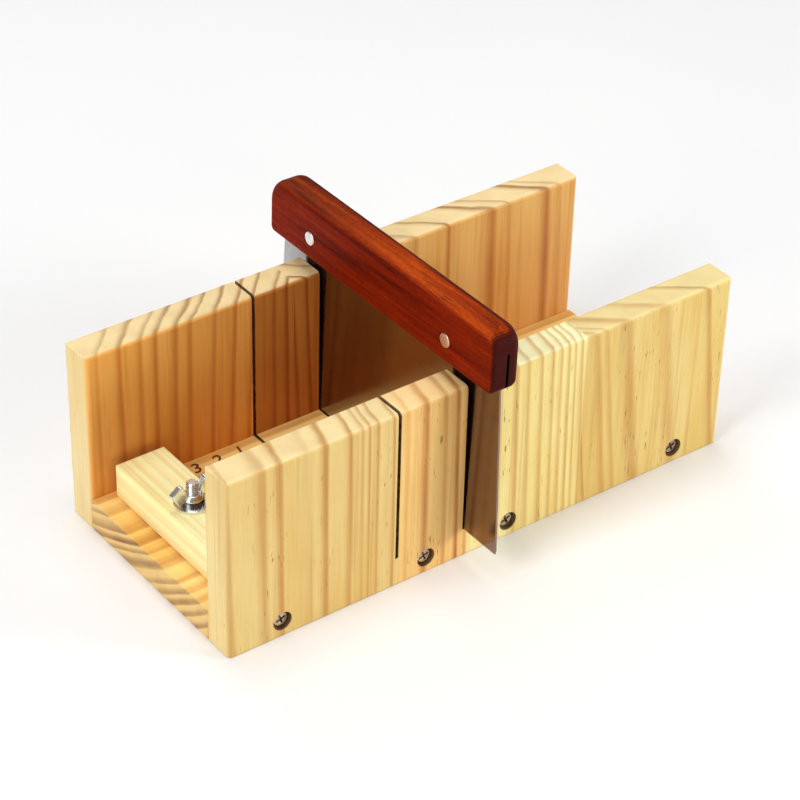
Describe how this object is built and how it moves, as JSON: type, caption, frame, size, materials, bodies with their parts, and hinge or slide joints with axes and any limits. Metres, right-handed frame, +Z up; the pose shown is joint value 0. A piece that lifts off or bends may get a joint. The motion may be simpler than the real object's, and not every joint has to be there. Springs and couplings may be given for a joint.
{
  "type": "soap cutting box",
  "caption": "Open wooden box with saw kerfs in its sides that guide a straight blade with a wooden handle, and a sliding stop block held by a bolt and wing nut.",
  "frame": {"origin": "middle of the base board's underside", "axes": "+X along the box from the stop block's end to the empty end, +Y across it towards the far side board, +Z up"},
  "size_m": [0.24, 0.1458, 0.1128],
  "materials": {
    "pine_side": "sanded, bare",
    "pine_floor": "sanded, bare",
    "pine_stop": "sanded, bare",
    "rosewood": "oiled, satin",
    "blade_steel": "rolled, bright",
    "zinc_plate": "bright zinc plate",
    "screw_steel": "dull, darkened",
    "rivet_aluminium": "satin"
  },
  "bodies": {
    "box": {"base_board": "pine_floor", "near_side_board": "pine_side", "far_side_board": "pine_side", "near_screw_1": "screw_steel", "near_screw_2": "screw_steel", "near_screw_3": "screw_steel", "near_screw_4": "screw_steel", "far_screw_1": "screw_steel", "far_screw_2": "screw_steel", "far_screw_3": "screw_steel", "far_screw_4": "screw_steel"},
    "stop": {"stop_block": "pine_stop", "clamp_bolt": "zinc_plate", "flat_washer": "zinc_plate"},
    "nut_ride": {"lock_washer": "zinc_plate"},
    "nut": {"wing_nut": "zinc_plate"},
    "cutter": {"cutter_blade": "blade_steel", "cutter_handle": "rosewood", "near_rivet": "rivet_aluminium", "far_rivet": "rivet_aluminium"}
  },
  "joints": [
    {"name": "stop_slide", "type": "slide", "parent": "box", "child": "stop", "axis": [1, 0, 0], "range_m": [-0.004, 0.038]},
    {"name": "nut_lift", "type": "slide", "parent": "stop", "child": "nut_ride", "axis": [0, 0, 1], "range_m": [0, 0.00161]},
    {"name": "nut_turn", "type": "hinge", "parent": "nut_ride", "child": "nut", "pos_m": [-0.0994, 0, 0.03165], "axis": [0, 0, 1], "range_deg": [0, 720]},
    {"name": "cutter_lift", "type": "slide", "parent": "box", "child": "cutter", "axis": [0, 0, 1], "range_m": [0, 0.075]}
  ],
  "couplings": [
    {"joint": "nut_lift", "follows": "nut_turn", "m_per_rad": 0.00012732}
  ]
}
